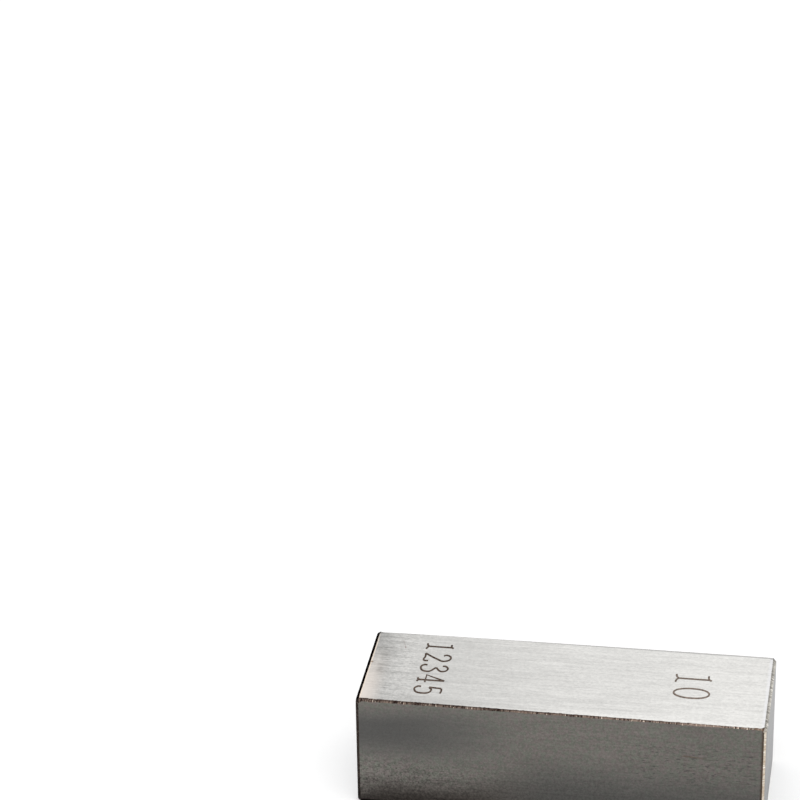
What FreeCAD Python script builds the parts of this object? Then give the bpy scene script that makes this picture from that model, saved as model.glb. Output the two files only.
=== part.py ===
import FreeCAD, Part
import math
import os

import Sketcher

# A rectangular gauge block of hardened steel, one solid piece, lying on a side face.
# X runs along the section's long side and Y along the gauge length, from one lapped
# measuring face to the other. Z is up. The origin is the centre of the face it rests on.

# Driving sizes, in millimetres.
SIZES = (
    ("gauge_length", 10.0, "between the two measuring faces"),
    ("section_length", 30.0, "long side of the measuring faces"),
    ("section_width", 9.0, "short side of the measuring faces"),
    ("side_chamfer", 0.2, "leg of the bevel between two side faces"),
    ("face_chamfer", 0.2, "leg of the bevel round each measuring face"),
)

# The gauge length runs along this direction.
GAUGE_AXIS = FreeCAD.Vector(0, 1, 0)


def size_sheet(doc):
    """The sheet of driving sizes: a value, its alias and what it measures on each row."""
    sheet = doc.addObject("Spreadsheet::Sheet", "Sizes")
    for row, (alias, value, meaning) in enumerate(SIZES, start=1):
        sheet.set(f"A{row}", str(value))
        sheet.setAlias(f"A{row}", alias)
        sheet.set(f"B{row}", meaning)
    doc.recompute()
    return sheet


def origin_plane(body, role):
    """One of the body's own origin planes, by its role."""
    return next(item for item in body.Origin.OriginFeatures if item.Role == role)


def is_parallel(direction, axis):
    """True where two directions lie along the same line."""
    return math.isclose(abs(direction.dot(axis)), direction.Length * axis.Length)


def straight_edges_along(shape, axis):
    """Names of the straight edges that run along an axis."""
    names = []
    for number, edge in enumerate(shape.Edges, start=1):
        if is_parallel(edge.tangentAt(edge.FirstParameter), axis):
            names.append(f"Edge{number}")
    return names


def flat_faces_square_to(shape, axis):
    """Names of the flat faces whose normal lies along an axis."""
    names = []
    for number, face in enumerate(shape.Faces, start=1):
        if is_parallel(face.normalAt(0, 0), axis):
            names.append(f"Face{number}")
    return names


def section_sketch(body):
    """The section: a rectangle that stands on the origin and is centred on it sideways."""
    sketch = body.newObject("Sketcher::SketchObject", "Section")
    sketch.AttachmentSupport = (origin_plane(body, "XZ_Plane"), "")
    sketch.MapMode = "FlatFace"

    # Corners in order round the rectangle. The constraints below set their places.
    reach = 1.0
    corners = [
        FreeCAD.Vector(-reach, 0, 0),
        FreeCAD.Vector(reach, 0, 0),
        FreeCAD.Vector(reach, reach, 0),
        FreeCAD.Vector(-reach, reach, 0),
    ]
    bottom, right, top, left = (
        sketch.addGeometry(Part.LineSegment(corners[i], corners[(i + 1) % 4]))
        for i in range(4)
    )
    start, end = 1, 2
    origin_point = (-1, 1)

    ring = (bottom, right, top, left)
    for side, following in zip(ring, ring[1:] + ring[:1]):
        sketch.addConstraint(Sketcher.Constraint("Coincident", side, end, following, start))
    for side in (bottom, top):
        sketch.addConstraint(Sketcher.Constraint("Horizontal", side))
    for side in (right, left):
        sketch.addConstraint(Sketcher.Constraint("Vertical", side))
    sketch.addConstraint(
        Sketcher.Constraint("Symmetric", bottom, start, bottom, end, *origin_point)
    )

    length = sketch.addConstraint(
        Sketcher.Constraint("DistanceX", bottom, start, bottom, end, 2 * reach)
    )
    width = sketch.addConstraint(
        Sketcher.Constraint("DistanceY", right, start, right, end, reach)
    )
    sketch.renameConstraint(length, "length")
    sketch.renameConstraint(width, "width")
    sketch.setExpression("Constraints.length", "Sizes.section_length")
    sketch.setExpression("Constraints.width", "Sizes.section_width")
    return sketch


def gauge_block(doc):
    """The block: the section carried along the gauge length, then its edges bevelled."""
    body = doc.addObject("PartDesign::Body", "GaugeBlock")
    body.Label = "gauge_block"

    blank = body.newObject("PartDesign::Pad", "Blank")
    blank.Profile = section_sketch(body)
    blank.SideType = "Symmetric"
    blank.setExpression("Length", "Sizes.gauge_length")
    doc.recompute()

    # The four side faces meet in bevels that run the gauge length.
    side_bevels = body.newObject("PartDesign::Chamfer", "SideBevels")
    side_bevels.Base = (blank, straight_edges_along(blank.Shape, GAUGE_AXIS))
    side_bevels.setExpression("Size", "Sizes.side_chamfer")
    doc.recompute()

    # A second bevel goes round each measuring face, over the ends of the side bevels too,
    # so that no burr can stand proud of a face that has to wring.
    face_bevels = body.newObject("PartDesign::Chamfer", "FaceBevels")
    face_bevels.Base = (side_bevels, flat_faces_square_to(side_bevels.Shape, GAUGE_AXIS))
    face_bevels.setExpression("Size", "Sizes.face_chamfer")
    doc.recompute()
    body.Tip = face_bevels
    return body


def check_document(doc):
    """Stops if any object of the document failed to build."""
    failed = [item.Name for item in doc.Objects if {"Invalid", "Error"} & set(item.State)]
    if failed:
        raise RuntimeError("failed objects: " + ", ".join(failed))


def write_step(body):
    """Writes one sub-part under its label, once its shape is known to be sound."""
    shape = body.Shape
    if shape.isNull() or not shape.isValid():
        raise RuntimeError(f"{body.Label} has no valid shape")
    shape.exportStep(os.path.join("parts", f"{body.Label}.step"))
    print(f"{body.Label}: {len(shape.Solids)} solid, {shape.Volume:.2f} mm3, {shape.BoundBox}")


os.makedirs("parts", exist_ok=True)
document = FreeCAD.newDocument("GaugeBlock")
size_sheet(document)
block = gauge_block(document)
document.recompute()
check_document(document)
write_step(block)
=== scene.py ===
import math
from collections import namedtuple

import bmesh
import bpy
from mathutils import Matrix, Vector, noise


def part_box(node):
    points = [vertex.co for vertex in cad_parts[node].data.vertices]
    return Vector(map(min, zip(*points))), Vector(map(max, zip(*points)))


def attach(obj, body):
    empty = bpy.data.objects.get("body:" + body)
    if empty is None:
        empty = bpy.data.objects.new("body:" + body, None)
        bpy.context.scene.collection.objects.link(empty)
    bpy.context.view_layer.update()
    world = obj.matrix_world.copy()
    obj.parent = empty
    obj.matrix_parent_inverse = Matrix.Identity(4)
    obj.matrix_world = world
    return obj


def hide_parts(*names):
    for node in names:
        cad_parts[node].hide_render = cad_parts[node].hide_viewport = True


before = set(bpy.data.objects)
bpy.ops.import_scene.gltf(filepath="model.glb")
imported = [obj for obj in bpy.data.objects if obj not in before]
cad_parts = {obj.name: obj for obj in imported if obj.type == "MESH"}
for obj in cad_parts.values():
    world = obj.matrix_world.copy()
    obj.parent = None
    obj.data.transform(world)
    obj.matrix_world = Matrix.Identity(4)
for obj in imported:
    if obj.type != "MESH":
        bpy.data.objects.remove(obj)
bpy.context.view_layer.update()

# A steel gauge block lying on a side face. X runs along the section, Y along the gauge
# length between the two lapped faces, Z is up. Sizes here are in metres.
MM = 0.001
TINY = 0.001 * MM
LOW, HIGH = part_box("gauge_block")
CENTRE = (LOW + HIGH) / 2
TOP = HIGH.z

# The same reach in millimetres, which the finishes read.
RIGHT_END, BACK, TOP_MM = (side / MM for side in HIGH)
LEFT_END, FRONT = LOW.x / MM, LOW.y / MM

# The bevels' legs, read off the top face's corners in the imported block.
TOP_CORNERS = [v.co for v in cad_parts["gauge_block"].data.vertices if v.co.z > TOP - TINY]
SIDE_BEVEL = HIGH.x - max(corner.x for corner in TOP_CORNERS)
FACE_BEVEL = HIGH.y - max(corner.y for corner in TOP_CORNERS)

# The arrises on both sides of a bevel are stoned round in a few steps, and each bevel is cut
# into short steps along its length. An edge longer than LONG_EDGE runs along a bevel, a face
# larger than FLAT_AREA is one of the six flat ones, and a point that lies less than ON_FACE
# under a flat face belongs to its arris.
ARRIS = 0.025 * MM
ARRIS_STEPS = 2
STONE_STEP = 0.07 * MM
LONG_EDGE = 1.0 * MM
FLAT_AREA = 20 * MM * MM
ON_FACE = 1.5 * ARRIS

# The stone leaves the arrises ragged: they wander slowly, with short ticks where the quick
# noise is above a start.
WANDER = 0.022 * MM
WANDER_LENGTH = 1.3 * MM
TICK = 0.05 * MM
TICK_LENGTH = 0.16 * MM
TICK_START = 0.1

# The slow and the quick noise come from layers of their own. Each arris has its own row there,
# which depends on the axis of its flat face and on the two sides of the block that it is at.
SLOW_LAYER, QUICK_LAYER = 0.5, 4.5
ROW_OF_AXIS, ROW_OF_FACE, ROW_OF_BEVEL = 1.3, 3.1, 5.7

# The stone met the long bevels at a slant and took less off towards the right end. A lean is
# how far outwards their arrises on the marked face and the rest face lie, at the left end and
# at the right one, with the power of the way along that leads from one to the other. Past the
# corners it grows to that over LEAN_START. On the front lapped face the arris lies outwards by
# the same lean all along.
Lean = namedtuple("Lean", "left right power")
LEAN_FRONT = Lean(left=-0.05 * MM, right=0.165 * MM, power=0.6)
LEAN_BACK = Lean(left=-0.26 * MM, right=0.155 * MM, power=0.25)
LEAN_START = 0.2 * MM
LEAN_LAPPED = 0.095 * MM

# It spared the back's corners as well. A corner's lean is how far outwards along Y its points
# lie, those on the marked face or the rest face and those on the end face.
CornerLean = namedtuple("CornerLean", "on_side on_end")
LEFT_CORNER = CornerLean(on_side=0.0, on_end=0.15 * MM)
RIGHT_CORNER = CornerLean(on_side=0.155 * MM, on_end=0.08 * MM)

# The other bevels have a shorter leg on the end faces, a nominal one on the lapped faces and a
# longer one on the marked face and the rest face, which are square to X, Y and Z. Their
# arrises are straighter, and so are the long ones at the back.
LEAN_OTHERS = (0.07 * MM, 0.0, -0.012 * MM)
CALM = 0.4

# A corner reaches this far in from the block's sides, and the ragged arrises end there.
CORNER = max(SIDE_BEVEL, FACE_BEVEL) + 2 * ARRIS

# The corners are stoned a little rounder: this far inwards, over this distance from them.
CORNER_CUT = 0.03 * MM
CORNER_REACH = 0.2 * MM

# The needle cuts the marks wider along Y than along X. What cuts a stroke is a round bar, with
# this rounding across it and this many steps from knot to knot.
STROKE_WIDTH = 0.145 * MM
STROKE_SPREAD = 1.6
STROKE_DEPTH = 0.03 * MM
STROKE_ROUNDING = 2
STROKE_STEPS = 8

# The marks on the top face. Digits stand with their tops towards +X and read towards -Y: the
# foot line and cap height are along X, the first digit's middle and the pitch along Y.
Mark = namedtuple("Mark", "digits foot cap first pitch")
MARKS = (
    Mark("10", foot=7.88 * MM, cap=2.64 * MM, first=1.15 * MM, pitch=2.0 * MM),
    Mark("12345", foot=-10.95 * MM, cap=2.02 * MM, first=3.14 * MM, pitch=1.53 * MM),
)

# The digits' single strokes, on a cap height of 1, with the digit's middle at 0 across.
SMOOTH, SHARP, OVAL = "smooth", "sharp", "oval"
DIGITS = {
    "0": ((OVAL, (0, 0), (0.25, 0.5), (0, 0.985), (-0.25, 0.5)),),
    "1": (
        (SHARP, (0, 0.08), (0, 0.93)),
        (SMOOTH, (-0.215, 0), (-0.1, 0.015), (0, 0.075)),
        (SMOOTH, (0.215, 0), (0.1, 0.015), (0, 0.075)),
        (SMOOTH, (-0.21, 0.9), (-0.02, 0.925), (0.045, 1)),
    ),
    "2": (
        (
            SMOOTH, (-0.15, 0.72), (-0.2, 0.84), (-0.01, 1), (0.235, 0.79), (0.09, 0.48),
            (-0.25, 0.03),
        ),
        (SMOOTH, (-0.25, 0.03), (-0.02, 0.05), (0.22, 0.02), (0.27, 0.19)),
    ),
    "3": (
        (SMOOTH, (-0.17, 0.79), (-0.17, 0.9), (0.01, 1), (0.2, 0.79), (-0.05, 0.56)),
        (SMOOTH, (-0.05, 0.56), (0.25, 0.3), (0.01, 0), (-0.2, 0.1), (-0.2, 0.22)),
    ),
    "4": (
        (SHARP, (0.09, 1), (-0.26, 0.3), (0.26, 0.3)),
        (SHARP, (0.09, 1), (0.09, 0.08)),
        (SMOOTH, (-0.05, 0), (0.03, 0.02), (0.09, 0.09)),
        (SMOOTH, (0.23, 0), (0.15, 0.02), (0.09, 0.09)),
    ),
    "5": (
        (SMOOTH, (0.2, 0.96), (0.03, 0.99), (-0.14, 0.97)),
        (SHARP, (-0.14, 0.97), (-0.18, 0.52)),
        (SMOOTH, (-0.18, 0.52), (0.02, 0.62), (0.25, 0.32), (0.01, 0), (-0.2, 0.1), (-0.2, 0.22)),
    ),
}

# An oval's four knots have handles this long, as a share of the line between their neighbours.
# That is a little fuller than an ellipse, which would have 0.276.
OVAL_HANDLE = 0.3

# The studio: the share of white light that comes from all round, and what a ray that shows
# the background finds. The floor's glow lifts it to white for those rays.
FILL = 0.8
WHITE = 1.0
FLOOR_TONE = 0.9
FLOOR_GLOW = 0.27
FLOOR_REACH = 3.0

# The softbox stands above the block, in front of it.
SOFTBOX_PLACE = Vector((0.2, -0.6, 1.0))
SOFTBOX_SIZE = 1.1
SOFTBOX_POWER = 3.0

# The camera, fitted to the photograph: its place, its turn in degrees, its focal length and
# sensor in millimetres, and where its view begins.
CAMERA_PLACE = (24.752 * MM, -214.376 * MM, 141.226 * MM)
CAMERA_TURN = (63.1542, 0.9001, 9.3104)
FOCAL_LENGTH = 154.14
SENSOR_WIDTH = 36
VIEW_START = 10 * MM


def display(red, green, blue):
    """A colour as it shows on a screen, 0 to 255, as the linear colour that a shader takes."""
    def linear(level):
        share = level / 255
        return share / 12.92 if share <= 0.04045 else ((share + 0.055) / 1.055) ** 2.4
    return (linear(red), linear(green), linear(blue), 1.0)


class Value:
    """A shader socket that takes part in Python arithmetic."""

    def __init__(self, shader, socket):
        self.shader = shader
        self.socket = socket

    def __add__(self, other):
        return self.shader.maths("ADD", self, other)

    def __sub__(self, other):
        return self.shader.maths("SUBTRACT", self, other)

    def __rsub__(self, other):
        return self.shader.maths("SUBTRACT", other, self)

    def __mul__(self, other):
        return self.shader.maths("MULTIPLY", self, other)

    def __abs__(self):
        return self.shader.maths("ABSOLUTE", self)

    __radd__ = __add__
    __rmul__ = __mul__


class Shader:
    """A node tree, built up node by node."""

    def __init__(self, tree):
        self.tree = tree
        tree.nodes.clear()

    def node(self, kind, settings=None, inputs=None):
        """Adds a node: its settings first, then its sockets' values or links."""
        made = self.tree.nodes.new(kind)
        for name, value in (settings or {}).items():
            setattr(made, name, value)
        for name, value in (inputs or {}).items():
            if isinstance(value, Value):
                self.tree.links.new(value.socket, made.inputs[name])
            else:
                made.inputs[name].default_value = value
        return made

    def value(self, kind, output, settings=None, inputs=None):
        """Adds a node and returns one of its outputs."""
        made = self.node(kind, settings, inputs)
        return Value(self, made.outputs[output])

    def maths(self, operation, *terms):
        """Adds a Math node on these values or numbers."""
        return self.value("ShaderNodeMath", 0, {"operation": operation}, dict(enumerate(terms)))

    def place(self, stretch=(1, 1, 1), shift=(0, 0, 0)):
        """Object coordinates in millimetres, stretched along the axes and then shifted."""
        coordinates = self.value("ShaderNodeTexCoord", "Object")
        scale = tuple(one / MM for one in stretch)
        inputs = {"Vector": coordinates, "Scale": scale, "Location": shift}
        return self.value("ShaderNodeMapping", "Vector", inputs=inputs)

    def axes(self):
        """Object coordinates as three values, in millimetres."""
        split = self.node("ShaderNodeSeparateXYZ", inputs={"Vector": self.place()})
        return [Value(self, split.outputs[axis]) for axis in "XYZ"]

    def noise(self, stretch, detail=2.0, roughness=0.6, shift=(0, 0, 0)):
        """Noise with as many bumps a millimetre along each axis as stretch says, 0 to 1. The
        shift takes it from another part of the noise."""
        inputs = {
            "Vector": self.place(stretch, shift),
            "Scale": 1.0,
            "Detail": detail,
            "Roughness": roughness,
        }
        return self.value("ShaderNodeTexNoise", "Fac", inputs=inputs)

    def rise(self, value, low, high):
        """0 where value is at or under low and 1 at or over high, smooth in between."""
        inputs = {"Value": value, "From Min": low, "From Max": high}
        settings = {"interpolation_type": "SMOOTHSTEP"}
        return self.value("ShaderNodeMapRange", "Result", settings, inputs)

    def fall(self, value, low, high):
        """1 where value is at or under low and 0 at or over high, smooth in between."""
        return 1 - self.rise(value, low, high)

    def band(self, value, start, full, fading, end):
        """0 up to start, 1 from full to fading, and 0 again from end on."""
        return self.rise(value, start, full) * self.fall(value, fading, end)

    def blend(self, share, first, second):
        """Two colours, mixed by a share. The Mix node's colour sockets are its 7th and 8th."""
        settings = {"data_type": "RGBA"}
        return self.value("ShaderNodeMix", 2, settings, {0: share, 6: first, 7: second})

    def scaled(self, colour, level):
        """A colour made lighter or darker by a level."""
        if not isinstance(colour, Value):
            colour = colour[:3]
        inputs = {0: colour, "Scale": level}
        return self.value("ShaderNodeVectorMath", "Vector", {"operation": "SCALE"}, inputs)

    def background_rays(self):
        """1 for rays that show the background, seen or in gloss or glass, and 0 for light."""
        path = self.node("ShaderNodeLightPath")
        rays = ("Is Camera Ray", "Is Glossy Ray", "Is Transmission Ray")
        camera_ray, gloss_ray, glass_ray = (Value(self, path.outputs[ray]) for ray in rays)
        return self.maths("MINIMUM", camera_ray + gloss_ray + glass_ray, 1.0)


class Finish(Shader):
    """The finish of one kind of surface, as a material."""

    def __init__(self, name):
        self.material = bpy.data.materials.new(name)
        self.material.use_nodes = True
        super().__init__(self.material.node_tree)

    def steel(self, colour, roughness, relief, relief_depth, graze=1.0):
        """Bare steel of this colour, with its relief as a bump. What it reflects along the
        face, near grazing, is dimmed by graze."""
        bump = {"Strength": 1.0, "Distance": relief_depth, "Height": relief}
        inputs = {
            "Base Color": colour,
            "Roughness": roughness,
            "Metallic": 1.0,
            "Specular Tint": (graze, graze, graze, 1),
            "Normal": self.value("ShaderNodeBump", "Normal", inputs=bump),
        }
        surface = self.value("ShaderNodeBsdfPrincipled", "BSDF", inputs=inputs)
        self.node("ShaderNodeOutputMaterial", inputs={"Surface": surface})
        return self.material


# How deep the relief is that each way of working leaves in the steel.
GROUND_RELIEF = 0.002 * MM
LAPPED_RELIEF = 0.0006 * MM
STONED_RELIEF = 0.004 * MM
ETCHED_RELIEF = 0.002 * MM


def ground_steel(finish, steel, hair, graze=1.0):
    """Steel that the wheel left with fine hair."""
    return finish.steel(steel, 0.3 + (hair - 0.5) * 0.1, hair, GROUND_RELIEF, graze)


def lapped_steel(finish, steel, grain):
    """Steel that the lap left nearly smooth."""
    return finish.steel(steel, 0.22 + (grain - 0.5) * 0.06, grain, LAPPED_RELIEF)


def stoned_steel(finish, steel, tick, graze=1.0):
    """Steel that the stone left rough."""
    return finish.steel(steel, 0.45 + (tick - 0.5) * 0.3, tick, STONED_RELIEF, graze)


def along(axis, lengthwise, across):
    """A noise's stretch: bumps a millimetre lengthwise along an axis, and across it."""
    return tuple(lengthwise if index == axis else across for index in range(3))


def grinding(finish, lay):
    """The wheel's fine hair along its lay, and all its marks, about 0 in the middle: the hair,
    wider streaks and short dashes."""
    hair = finish.noise(along(lay, 0.22, 5.5))
    streak = finish.noise(along(lay, 0.3, 2.2), shift=(3, 7, 1))
    dash = finish.noise(along(lay, 4.5, 6.5), roughness=0.75, shift=(8, 2, 6))
    return hair, (hair - 0.5) * 1.2 + (streak - 0.5) * 0.8 + (dash - 0.5) * 1.8


# Places in the finishes are in millimetres: along X and Y from the block's middle, and along Z
# from its foot. The other numbers there are shares, from 0 to 1, and levels, where 1 leaves a
# colour as it is.

# The marked face's steel, its wear and small faults, and the painted highlights, grey line
# and painted dark reflection along its arrises.
MARKED_STEEL = display(221, 220, 217)
WORN_STEEL = display(234, 225, 217)
WARM_ARRIS_HIGHLIGHT = display(248, 232, 215)
NICK_BROWN = display(134, 106, 98)
SPECK_RUST = display(124, 88, 48)
RIGHT_LIGHT = display(243, 243, 247)
BACK_GREY = display(160, 159, 158)
TIP_REFLECTION_BLACK = display(26, 20, 16)


def marked_level(finish, x, y, scuff, right):
    """How light the marked face is: painted shade darkens it towards the left end, it is dull in
    the far left corner, and along the near edge it is dull on the left and has a painted
    highlight on the right."""
    level = (
        0.60
        + 0.24 * finish.rise(x, LEFT_END - 0.4, -11.8)
        + 0.16 * finish.rise(x, -13, 3)
        + 0.1 * finish.rise(x, 1, RIGHT_END)
    )
    dull = finish.fall(x, LEFT_END, -13.6) * finish.rise(y, 1, 5) * (0.45 + scuff)
    near = finish.fall(y, FRONT + 0.3, FRONT + 1.6)
    near_highlight = finish.fall(y, FRONT + 0.28, FRONT + 0.5)
    return level - 0.14 * dull + near * (0.15 * right - 0.1) + 0.09 * near_highlight * right


def left_end_wear_and_highlight(finish, x, y, scuff, steel):
    """The wear at the left end: a warm patch in the near corner, a shade and scuffed streaks
    beside it, and a painted warm highlight along the arris."""
    patch = finish.fall(x, -14.6, -13.0) * finish.fall(y, -3, 3.5)
    steel = finish.blend(0.85 * patch, steel, WORN_STEEL)
    shade = finish.band(x, -14.35, -13.95, -13.8, -13.0) * finish.band(y, -2.4, -0.4, 1.6, 3.4)
    scuffed = scuff * finish.fall(x, -13.2, -11.6) * finish.rise(y, -4, -2)
    steel = finish.scaled(steel, 1 - 0.16 * shade * (0.45 + scuff) - 0.07 * scuffed)
    # A painted warm highlight along the left arris.
    arris = finish.fall(x, LEFT_END + 0.27, LEFT_END + 0.37) * finish.fall(y, 3, 5)
    return finish.blend(0.85 * arris, steel, WARM_ARRIS_HIGHLIGHT)


def small_faults(finish, x, y, steel):
    """A fine slanting nick that is deepest at its near end, and a speck of rust by the arris."""
    nick_x, nick_y, slant = -12.68, 3.3, 0.3
    nick = finish.fall(abs(x - nick_x + slant * (y - nick_y)), 0.02, 0.07)
    nick = nick * finish.band(y, 2.62, 2.72, 3.4, 4.0)
    depth = 0.2 + 0.6 * finish.fall(y, 2.75, 2.95)
    steel = finish.blend(nick * depth, steel, NICK_BROWN)
    speck_x, speck_y = -14.66, 0.4
    along_x, along_y = x - speck_x, y - speck_y
    away = finish.maths("SQRT", along_x * along_x + along_y * along_y)
    return finish.blend(0.7 * finish.fall(away, 0.06, 0.14), steel, SPECK_RUST)


def arris_lines(finish, x, y, right, steel):
    """A painted highlight along the right arris, a grey line along the back one, and the far
    left tip painted as dark as the left bevels, a painted reflection.
    """
    light = finish.rise(x, RIGHT_END - 0.55, RIGHT_END - 0.35)
    steel = finish.blend(0.5 * light, steel, RIGHT_LIGHT)
    back = finish.rise(y + 0.1 * light, BACK - 0.3, BACK - 0.18)
    steel = finish.blend(back * (0.1 + 0.55 * right), steel, BACK_GREY)
    tip = finish.fall(x, LEFT_END + 0.2, LEFT_END + 0.34) * finish.rise(y, BACK - 0.62, BACK - 0.46)
    return finish.blend(0.9 * tip, steel, TIP_REFLECTION_BLACK)


def marked_face():
    """The side face that carries the marks: ground along X, more streaked and worn towards its
    left end, and darker there by painted shade."""
    finish = Finish("ground_marked_face")
    x, y, _ = finish.axes()
    hair, marks = grinding(finish, 0)
    scuff = finish.noise(along(0, 0.6, 6.0), detail=1.0, roughness=0.5, shift=(5, 1, 4))
    scuff = finish.rise(scuff, 0.45, 0.62)
    right = finish.rise(x, -10, 2)
    level = marked_level(finish, x, y, scuff, right)
    streaked = 0.3 + 0.35 * finish.fall(x, -13.5, -9)
    steel = finish.scaled(MARKED_STEEL, level * (1 + marks * streaked))
    steel = left_end_wear_and_highlight(finish, x, y, scuff, steel)
    steel = small_faults(finish, x, y, steel)
    steel = arris_lines(finish, x, y, right, steel)
    return ground_steel(finish, steel, hair)


# The other side faces' steel. The end faces reflect less near grazing.
REST_STEEL = display(206, 205, 202)
END_STEEL = display(172, 172, 172)
COOL_STEEL = display(163, 168, 174)
END_GRAZE = 0.6


def plain_side_face(name, lay, colour, graze=1.0):
    """A side face without marks, ground along its lay: paler higher up and towards the back,
    and cooler low down."""
    finish = Finish(name)
    _, y, z = finish.axes()
    hair, marks = grinding(finish, lay)
    cloud = finish.noise((0.8, 0.8, 0.8), detail=3.0, shift=(2, 4, 6))
    level = (0.91 + 0.09 * finish.rise(y, FRONT, BACK)) * (0.9 + 0.1 * finish.rise(z, 1, 5.5))
    tone = finish.blend(0.35 * finish.fall(z, 2.5, 6.5), colour, COOL_STEEL)
    steel = finish.scaled(tone, level * (1 + marks * 0.5 + (cloud - 0.5) * 0.45))
    return ground_steel(finish, steel, hair, graze)


# The lapped faces' steel under its oil, dark as a painted reflection of dark surroundings,
# and what darkens the front one: scratches, flecks, a brown rim and painted shade at its foot.
LAPPED_WARM = display(110, 104, 101)
LAPPED_GREEN = display(105, 106, 99)
LAPPED_COOL = display(107, 106, 104)
FOOT_SHADE_BROWN = display(110, 103, 98)
SCRATCH_DARK = display(70, 62, 60)
SCRATCH_BROWN = display(90, 77, 66)
DASH_DARK = display(66, 64, 66)
FLECK_DARK = display(48, 46, 46)
RIM_BROWN = display(62, 46, 34)
FOOT_SHADOW_BLACK = display(6, 4, 5)


def lapped_grain(finish):
    """The lap's grain, its marks, about 0 in the middle, with a faint lay along X, and the
    steel's tone, which the oil tints here and there."""
    grain = finish.noise((7.5, 7.5, 7.5))
    streak = finish.noise(along(0, 0.25, 5.0), shift=(1, 2, 5))
    oil = finish.noise((3.5, 3.5, 3.5), shift=(7, 3, 8))
    tone = finish.blend(finish.rise(oil, 0.38, 0.62), LAPPED_WARM, LAPPED_GREEN)
    return grain, (grain - 0.5) * 0.85 + (streak - 0.5) * 0.4, tone


def lapped_back():
    """The far measuring face: lapped flat and nearly smooth, with a faint even grain, and dark
    as a painted reflection.
    """
    finish = Finish("lapped_back_face")
    grain, marks, tone = lapped_grain(finish)
    tone = finish.blend(0.5, tone, LAPPED_COOL)
    return lapped_steel(finish, finish.scaled(tone, 1 + marks), grain)


def painted_reflection_band(finish, x, z):
    """A painted dark reflection: a soft band at the upper left. Its upper edge climbs to the right.
    """
    climb = 0.5 * finish.rise(x, LEFT_END, -8)
    upright = finish.rise(z, 3.3, 6.3) * finish.fall(z - climb, 6.8, 8.8)
    return upright * finish.fall(x, -12.5, -1)


def painted_foot_shade(finish, x, z, right, middle):
    """Painted shade at the foot, as the face would reflect the floor's contact shadow. It reaches
    highest right of the middle, and it is a little clearer above the left corner."""
    foot = finish.fall(z, 0.3 + 1.2 * right, 3.3 + 2.2 * right + middle)
    clearer = finish.fall(x, LEFT_END + 0.4, LEFT_END + 1.8) * finish.rise(z, 0.4, 1.1)
    return foot * (1 - 0.28 * clearer)


def wringing_scratches(finish, x, z, steel):
    """What wringing left on the right: dark scratches, shorter dashes and a single brown
    scratch."""
    where = finish.rise(x, 3.5, 7) * finish.band(z, 3.0, 4.4, 6.6, 7.6)
    scratch = finish.noise((0.7, 1, 7.5), roughness=0.65, shift=(6, 0, 3))
    scratched = finish.rise(scratch, 0.58, 0.7) * where
    steel = finish.blend(0.6 * scratched, steel, SCRATCH_DARK)
    dash = finish.noise((2.0, 1, 6.5), detail=1.0, roughness=0.5, shift=(2, 0, 8))
    dashed = finish.rise(dash, 0.59, 0.68) * where
    steel = finish.blend(0.55 * dashed, steel, DASH_DARK)
    single_x, single_z, slant = 9.8, 6.17, 0.06
    single = finish.fall(abs(z - single_z + slant * (x - single_x)), 0.03, 0.09)
    single = single * finish.band(x, 8.8, 9.1, 9.7, 11.0)
    return finish.blend(0.6 * single, steel, SCRATCH_BROWN)


def flecks_rims_and_foot_shadow(finish, x, z, steel):
    """Dark flecks low on the left, the brown rim at the right end and a black painted shadow
    along the foot.
    """
    fleck = finish.noise((5, 5, 5), detail=1.0, roughness=0.5, shift=(5, 5, 9))
    low_left = finish.fall(z, 3, 4.6) * finish.fall(x, -11, -4)
    flecked = finish.rise(fleck, 0.62, 0.7) * low_left
    steel = finish.blend(0.5 * flecked, steel, FLECK_DARK)
    rim = finish.rise(x, RIGHT_END - 0.46, RIGHT_END - 0.27)
    steel = finish.blend(0.76 * rim, steel, RIM_BROWN)
    foot_shadow_line = finish.fall(z, 0.34, 0.46)
    return finish.blend(0.95 * foot_shadow_line, steel, FOOT_SHADOW_BLACK)


def lapped_front():
    """The near measuring face: a painted reflection darkens it in a band at the upper left and
    painted shade darkens it towards the foot, and its grain is coarser low on the left."""
    finish = Finish("lapped_front_face")
    x, _, z = finish.axes()
    grain, marks, tone = lapped_grain(finish)
    right = finish.rise(x, -8, 0)
    middle = right * finish.fall(x, 0, 11)
    band = painted_reflection_band(finish, x, z)
    foot = painted_foot_shade(finish, x, z, right, middle)
    # The painted reflection and painted shade are cooler, and browner at the foot on the left.
    tone = finish.blend(finish.maths("MAXIMUM", band, 0.8 * foot), tone, LAPPED_COOL)
    tone = finish.blend(foot * (1 - right), tone, FOOT_SHADE_BROWN)
    # The painted shade: deepest at the foot on the left, and a little darker towards the right end.
    foot_shade_depth = 0.78 - 0.4 * finish.rise(x, -8, -2.5) + 0.06 * middle
    painted_shade = (1 - 0.4 * band) * (1 - foot * foot_shade_depth) * (1 - 0.08 * finish.rise(x, 3, 13))
    coarse = 1 - 0.6 * band + 1.4 * finish.fall(z, 2, 5) * finish.fall(x, -10, -1)
    steel = finish.scaled(tone, painted_shade * (1 + marks * coarse))
    steel = wringing_scratches(finish, x, z, steel)
    steel = flecks_rims_and_foot_shadow(finish, x, z, steel)
    return lapped_steel(finish, steel, grain)


# The bevels' steel: dark in the stone's scratches, middle between them, and light in flecks.
LONG_TONES = display(38, 27, 24), display(116, 101, 92), display(170, 157, 145)
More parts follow.
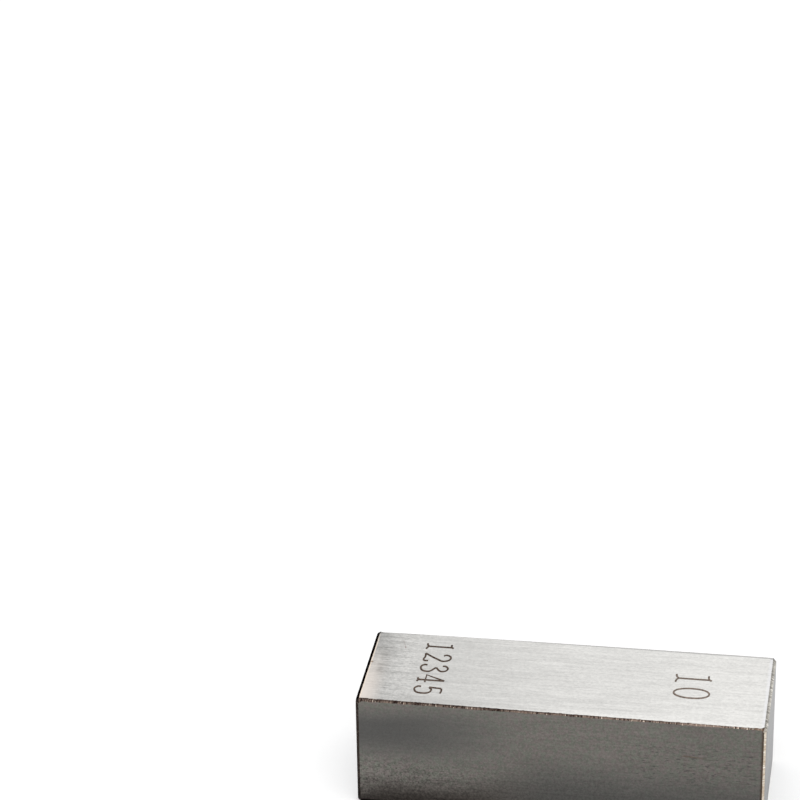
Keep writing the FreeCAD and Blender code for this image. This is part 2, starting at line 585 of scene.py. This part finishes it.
# The left end's tones are painted dark: a painted reflection of dark surroundings.
LEFT_PAINTED_DARK_TONES = display(12, 8, 6), display(20, 13, 8), display(40, 30, 22)
LEFT_UPRIGHT_PAINTED_DARK_TONES = display(34, 27, 24), display(50, 42, 37), display(80, 70, 62)
RIGHT_TONES = display(132, 129, 123), display(188, 185, 178), display(216, 212, 205)
RIGHT_UPRIGHT_TONES = display(186, 168, 148), display(216, 206, 191), display(240, 235, 225)

# What tints a long bevel's arris and right end, and a right upright bevel's edge and head.
ARRIS_BROWN = display(46, 35, 30)
RIGHT_BROWN = display(104, 82, 58)
RIGHT_TIP = display(66, 50, 42)
EDGE_GREY = display(158, 158, 158)
HEAD_GREY = display(150, 147, 143)

# The left bevels reflect less near grazing.
LEFT_GRAZE = 0.4


def stoned(finish, run, tones, wear=0.0):
    """The stone's ticks across a bevel that runs along an axis, and its steel in these tones,
    which wear turns lighter."""
    dark, middle, light = tones
    tick = finish.noise(along(run, 6.5, 0.8), detail=3.0, roughness=0.75)
    fleck = finish.noise(along(run, 6.0, 2.0), shift=(4, 9, 2))
    patch = finish.noise(along(run, 1.1, 0.3), roughness=0.5, shift=(6, 6, 6))
    between = finish.rise(tick + wear + (patch - 0.5) * 0.4, 0.4, 0.58)
    steel = finish.blend(between, dark, middle)
    return tick, finish.blend(finish.rise(fleck + wear * 0.5, 0.58, 0.66), steel, light)


def long_bevel():
    """The bevels along X: dark along the arris of the marked face, paler towards the right end
    and brown there."""
    finish = Finish("bevel_long")
    x, _, z = finish.axes()
    paler = finish.rise(x, -4, RIGHT_END)
    tick, steel = stoned(finish, 0, LONG_TONES, 0.05 * paler)
    arris = finish.rise(z, TOP_MM - 0.07, TOP_MM - 0.03)
    steel = finish.blend(arris * (0.6 - 0.3 * paler), steel, ARRIS_BROWN)
    left = finish.fall(x, -12, -8)
    steel = finish.scaled(steel, 1.05 + 0.25 * left + 0.75 * paler)
    steel = finish.blend(0.45 * finish.rise(x, 13.0, 14.3), steel, RIGHT_BROWN)
    tip = finish.rise(x, RIGHT_END - 0.45, RIGHT_END - 0.25)
    steel = finish.blend(0.8 * tip, steel, RIGHT_TIP)
    return stoned_steel(finish, steel, tick)


def left_bevel():
    """The bevels along Y at the left end: nearly black, a painted dark reflection."""
    finish = Finish("bevel_left")
    tick, steel = stoned(finish, 1, LEFT_PAINTED_DARK_TONES)
    return stoned_steel(finish, steel, tick, LEFT_GRAZE)


def left_upright():
    """The upright bevels at the left end: dark brown as a painted dark reflection, and darkest at
    the foot by painted shade.
    """
    finish = Finish("upright_left")
    _, _, z = finish.axes()
    tick, steel = stoned(finish, 2, LEFT_UPRIGHT_PAINTED_DARK_TONES)
    # Painted shade towards the foot.
    steel = finish.scaled(steel, 0.35 + 0.65 * finish.rise(z, 0.5, 2.5))
    return stoned_steel(finish, steel, tick)


def right_bevel():
    """The bevels along Y at the right end: pale, and brighter towards the end face."""
    finish = Finish("bevel_right")
    x, _, _ = finish.axes()
    tick, steel = stoned(finish, 1, RIGHT_TONES)
    outer = finish.rise(x, RIGHT_END - 0.2, RIGHT_END - 0.04)
    steel = finish.scaled(steel, 0.85 + 0.6 * outer)
    return stoned_steel(finish, steel, tick)


def right_upright():
    """The upright bevels at the right end: cream, and grey at the end face and the head."""
    finish = Finish("upright_right")
    x, _, z = finish.axes()
    tick, steel = stoned(finish, 2, RIGHT_UPRIGHT_TONES)
    outer = finish.rise(x, RIGHT_END - 0.1, RIGHT_END - 0.03)
    steel = finish.blend(outer, steel, EDGE_GREY)
    head = finish.rise(z, TOP_MM - 0.42, TOP_MM - 0.2)
    steel = finish.blend(0.6 * head, steel, HEAD_GREY)
    return stoned_steel(finish, steel, tick)


# The burnt bottom of the marks.
BURNT_DARK = display(65, 52, 45)
BURNT_PALE = display(112, 98, 88)
BURNT_GREY = display(158, 157, 150)


def etched_marks():
    """The bottom of the marks, burnt brown: paler towards the right end and the front."""
    finish = Finish("etched_marks")
    x, y, _ = finish.axes()
    burn = finish.noise((6, 6, 6))
    steel = finish.blend(finish.rise(burn, 0.3, 0.7), BURNT_DARK, BURNT_PALE)
    right = finish.rise(x, -8, 7)
    front = finish.fall(y, -3, 3)
    steel = finish.scaled(steel, (1.2 + right) * (0.88 + 0.24 * front))
    steel = finish.blend(0.25 * right, steel, BURNT_GREY)
    return finish.steel(steel, 0.7, burn, ETCHED_RELIEF)


def plain_floor():
    """A pale floor, white to the camera and in reflections, that keeps the block's shadow."""
    finish = Finish("pale_floor")
    tone = (FLOOR_TONE, FLOOR_TONE, FLOOR_TONE, 1)
    diffuse = finish.value("ShaderNodeBsdfDiffuse", "BSDF", inputs={"Color": tone})
    strength = {"Strength": FLOOR_GLOW}
    glow = finish.value("ShaderNodeEmission", "Emission", inputs=strength)
    seen = {0: finish.background_rays(), 2: glow}
    glow_seen = finish.value("ShaderNodeMixShader", 0, inputs=seen)
    surface = finish.value("ShaderNodeAddShader", 0, inputs={0: diffuse, 1: glow_seen})
    finish.node("ShaderNodeOutputMaterial", inputs={"Surface": surface})
    return finish.material


def reach_along(edge, axis):
    """How far an edge reaches along an axis."""
    first, last = edge.verts
    return abs(first.co[axis] - last.co[axis])


def bevel(bm, edges, leg, steps=1):
    """Bevels these edges, with a leg of this length on the faces beside them."""
    bmesh.ops.bevel(
        bm, geom=edges, offset=leg, offset_type="OFFSET", segments=steps, profile=0.5,
        affect="EDGES", material=-1,
    )


def sharp_block():
    """The block with its bevels: side bevels first, then those round the lapped faces."""
    bm = bmesh.new()
    bmesh.ops.create_cube(bm, size=1)
    bmesh.ops.scale(bm, vec=HIGH - LOW, verts=bm.verts)
    bmesh.ops.translate(bm, vec=CENTRE, verts=bm.verts)
    bevel(bm, [edge for edge in bm.edges if reach_along(edge, 1) > TINY], SIDE_BEVEL)
    for face_y in (LOW.y, HIGH.y):
        on_face = {vert for vert in bm.verts if abs(vert.co.y - face_y) < TINY}
        rim = [edge for edge in bm.edges if on_face.issuperset(edge.verts)]
        bevel(bm, rim, FACE_BEVEL)
    return bm


def depths(spot):
    """How far in from the nearer of the block's two sides a spot lies, along each axis."""
    return [min(spot[axis] - LOW[axis], HIGH[axis] - spot[axis]) for axis in range(3)]


def stone_edges(bm):
    """Rounds the arrises, cuts the bevels into short steps along their length and lets the
    arrises wander, each within the plane of the flat face beside it."""
    bevel(bm, list(bm.edges), ARRIS, ARRIS_STEPS)
    flats = [face for face in bm.faces if face.calc_area() > FLAT_AREA]
    bmesh.ops.delete(bm, geom=flats, context="FACES_ONLY")
    for axis in range(3):
        runs = [edge for edge in bm.edges if reach_along(edge, axis) > LONG_EDGE]
        cuts = round(runs[0].calc_length() / STONE_STEP)
        bmesh.ops.subdivide_edges(bm, edges=runs, cuts=cuts)
        for vert in bm.verts:
            if depths(vert.co)[axis] > CORNER:
                shift_arris(vert, axis)
    for vert in bm.verts:
        lean_corner(vert)
        round_corner(vert)
    bmesh.ops.holes_fill(bm, edges=[edge for edge in bm.edges if edge.is_boundary], sides=0)
    bmesh.ops.recalc_face_normals(bm, faces=bm.faces)


def stone_cut(place, row):
    """How far inwards the stone has moved an arris at one place along it."""
    slow = noise.noise(Vector((place / WANDER_LENGTH, row, SLOW_LAYER)))
    quick = noise.noise(Vector((place / TICK_LENGTH, row, QUICK_LAYER)))
    return WANDER * (slow + quick) + TICK * max(0.0, quick - TICK_START)


def nearest_corner(spot):
    """The lean of the nearer corner at the back."""
    return RIGHT_CORNER if spot.x > CENTRE.x else LEFT_CORNER


def stone_lean(spot, axis, near):
    """How far outwards of its drawn line an arris along an axis lies, on the flat face that is
    square to the axis near."""
    if axis != 0:
        return LEAN_OTHERS[near]
    at_front = spot.y < CENTRE.y
    if near == 1:
        corner = 0.0
        lean = LEAN_LAPPED if at_front else 0.0
    else:
        corner = 0.0 if at_front else nearest_corner(spot).on_side
        left, right, power = LEAN_FRONT if at_front else LEAN_BACK
        lean = left + (right - left) * ((spot.x - LOW.x) / (HIGH.x - LOW.x)) ** power
    return corner + (lean - corner) * min(1.0, (depths(spot)[0] - CORNER) / LEAN_START)


def shift_arris(vert, axis):
    """Moves one point of an arris that runs along an axis: it slides in the plane of the flat
    face there."""
    start = vert.co.copy()
    depth = depths(start)
    low_side = [start[index] < CENTRE[index] for index in range(3)]
    calm = 1.0 if axis == 0 and start.y < CENTRE.y else CALM
    others = [index for index in range(3) if index != axis]
    for near, far in (others, others[::-1]):
        if depth[near] < ON_FACE < depth[far]:
            row = ROW_OF_AXIS * near + ROW_OF_FACE * low_side[near] + ROW_OF_BEVEL * low_side[far]
            inward = 1 if low_side[far] else -1
            cut = stone_cut(start[axis], row) * calm
            vert.co[far] += inward * (cut - stone_lean(start, axis, near))


def lean_corner(vert):
    """Moves one point near a corner at the back outwards along Y, where the stone took less."""
    depth = depths(vert.co)
    if vert.co.y < CENTRE.y or max(depth) > CORNER:
        return
    on_side, on_end = nearest_corner(vert.co)
    share = depth[0] / max(depth[0] + depth[2], TINY)
    vert.co.y += (on_end + (on_side - on_end) * share) * min(1.0, depth[1] / FACE_BEVEL)


def round_corner(vert):
    """Moves one point near a corner inwards, but never out of the plane of a flat face."""
    depth = depths(vert.co)
    at_corner = SIDE_BEVEL + FACE_BEVEL + 2 * ARRIS
    away = max(0.0, sum(depth) - at_corner)
    if away > CORNER_REACH:
        return
    cut = CORNER_CUT * (1 - away / CORNER_REACH) ** 2
    for axis in range(3):
        inward = 1 if vert.co[axis] < CENTRE[axis] else -1
        vert.co[axis] += inward * cut * min(1.0, depth[axis] / FACE_BEVEL)


def round_oval(knots):
    """Gives the four knots of an oval their handles."""
    for index, knot in enumerate(knots):
        reach = (knots[(index + 1) % len(knots)].co - knots[index - 1].co) * OVAL_HANDLE
        knot.handle_left_type = knot.handle_right_type = "FREE"
        knot.handle_left = knot.co - reach
        knot.handle_right = knot.co + reach


def stroke_curve(digit, foot, cap, middle):
    """The strokes of one digit as round bars, before they are spread along Y and sunk."""
    curve = bpy.data.curves.new("stroke", "CURVE")
    curve.dimensions = "3D"
    curve.bevel_depth = STROKE_WIDTH / 2
    curve.bevel_resolution = STROKE_ROUNDING
    curve.resolution_u = STROKE_STEPS
    curve.use_fill_caps = True
    for style, *points in DIGITS[digit]:
        handles = "VECTOR" if style == SHARP else "AUTO"
        spline = curve.splines.new("BEZIER")
        spline.bezier_points.add(len(points) - 1)
        spline.use_cyclic_u = style == OVAL
        for knot, (across, up) in zip(spline.bezier_points, points):
            knot.co = (foot + up * cap, (middle - across * cap) / STROKE_SPREAD, 0)
            knot.handle_left_type = knot.handle_right_type = handles
        if style == OVAL:
            round_oval(spline.bezier_points)
    return curve


def finished_mesh(made):
    """An object's mesh with its modifiers or its curve's thickness applied."""
    bpy.context.view_layer.update()
    graph = bpy.context.evaluated_depsgraph_get()
    return bpy.data.meshes.new_from_object(made.evaluated_get(graph))


def marks_cutter():
    """All the strokes as one mesh, spread along Y, flattened to the depth of the etching and
    with their middle on the top face."""
    cutter = bmesh.new()
    for mark in MARKS:
        for index, digit in enumerate(mark.digits):
            curve = stroke_curve(digit, mark.foot, mark.cap, mark.first - index * mark.pitch)
            bars = bpy.data.objects.new("bars", curve)
            bpy.context.scene.collection.objects.link(bars)
            cutter.from_mesh(finished_mesh(bars))
            bpy.data.objects.remove(bars)
    flatten = Matrix.Diagonal((1, STROKE_SPREAD, 2 * STROKE_DEPTH / STROKE_WIDTH, 1))
    lift = Matrix.Translation((0, 0, TOP))
    bmesh.ops.transform(cutter, matrix=lift @ flatten, verts=cutter.verts)
    bmesh.ops.remove_doubles(cutter, verts=cutter.verts, dist=0.1 * TINY)
    bmesh.ops.recalc_face_normals(cutter, faces=cutter.faces)
    return cutter


def new_object(name, bm, materials):
    """Makes a bmesh an object of the scene, in these materials."""
    mesh = bpy.data.meshes.new(name)
    bm.to_mesh(mesh)
    bm.free()
    made = bpy.data.objects.new(name, mesh)
    bpy.context.scene.collection.objects.link(made)
    for material in materials:
        mesh.materials.append(material)
    return made


FINISHES = {
    "marked face": marked_face(),
    "rest face": plain_side_face("ground_rest_face", 0, REST_STEEL),
    "end face": plain_side_face("ground_end_face", 2, END_STEEL, END_GRAZE),
    "front face": lapped_front(),
    "back face": lapped_back(),
    "long bevel": long_bevel(),
    "left bevel": left_bevel(),
    "right bevel": right_bevel(),
    "left upright": left_upright(),
    "right upright": right_upright(),
    "marks": etched_marks(),
}
SLOTS = {name: index for index, name in enumerate(FINISHES)}

# The flat faces' finishes follow the axis that they are square to, on its low side and on its
# high one. The bevels' follow the axis that they run along, at the left end and at the right.
FACE_FINISHES = (
    ("end face", "end face"),
    ("front face", "back face"),
    ("rest face", "marked face"),
)
BEVEL_FINISHES = (
    ("long bevel", "long bevel"),
    ("left bevel", "right bevel"),
    ("left upright", "right upright"),
)


def finish_of(face):
    """The finish of a face of the block, from the way it points and where it lies."""
    pointing = [abs(part) for part in face.normal]
    if face.calc_area() > FLAT_AREA:
        axis = pointing.index(max(pointing))
        return FACE_FINISHES[axis][face.normal[axis] > 0]
    run = pointing.index(min(pointing))
    return BEVEL_FINISHES[run][face.calc_center_median().x > CENTRE.x]


def cut_marks(block):
    """Cuts the marks into the block's top face."""
    strokes = marks_cutter()
    for face in strokes.faces:
        face.material_index = SLOTS["marks"]
    cutter = new_object("cutter", strokes, FINISHES.values())
    cut = block.modifiers.new("marks", "BOOLEAN")
    cut.operation = "DIFFERENCE"
    cut.solver = "EXACT"
    cut.use_self = True
    cut.object = cutter
    mesh = finished_mesh(block)
    block.modifiers.clear()
    block.data = mesh
    bpy.data.objects.remove(cutter)


def gauge_block():
    """The finished block: bevelled, stoned, finished face by face, then marked."""
    bm = sharp_block()
    stone_edges(bm)
    for face in bm.faces:
        face.material_index = SLOTS[finish_of(face)]
    block = new_object("gauge_block_finished", bm, FINISHES.values())
    cut_marks(block)
    return block


def floor():
    """A wide plain floor under the block."""
    bm = bmesh.new()
    bmesh.ops.create_grid(bm, x_segments=1, y_segments=1, size=FLOOR_REACH)
    new_object("floor", bm, [plain_floor()])


def softbox():
    """A square lamp that faces the block."""
    lamp = bpy.data.lights.new("softbox", "AREA")
    lamp.shape = "SQUARE"
    lamp.size = SOFTBOX_SIZE
    lamp.energy = SOFTBOX_POWER
    made = bpy.data.objects.new("softbox", lamp)
    made.location = SOFTBOX_PLACE
    made.rotation_euler = (CENTRE - SOFTBOX_PLACE).to_track_quat("-Z", "Y").to_euler()
    bpy.context.scene.collection.objects.link(made)


def studio():
    """White to the camera and in reflections, and a plain fill for everything else."""
    world = bpy.data.worlds.new("studio")
    world.use_nodes = True
    shader = Shader(world.node_tree)
    strength = FILL + (WHITE - FILL) * shader.background_rays()
    inputs = {"Color": (1, 1, 1, 1), "Strength": strength}
    light = shader.value("ShaderNodeBackground", 0, inputs=inputs)
    shader.node("ShaderNodeOutputWorld", inputs={"Surface": light})
    bpy.context.scene.world = world


def camera():
    """A long lens, above the block and a little to its right."""
    lens = bpy.data.cameras.new("camera")
    lens.sensor_width = SENSOR_WIDTH
    lens.lens = FOCAL_LENGTH
    lens.clip_start = VIEW_START
    made = bpy.data.objects.new("camera", lens)
    made.location = CAMERA_PLACE
    made.rotation_euler = [math.radians(turn) for turn in CAMERA_TURN]
    bpy.context.scene.collection.objects.link(made)
    bpy.context.scene.camera = made


block = gauge_block()
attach(block, "root")
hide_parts("gauge_block")
floor()
studio()
softbox()
camera()
bpy.context.scene.view_settings.view_transform = "Standard"
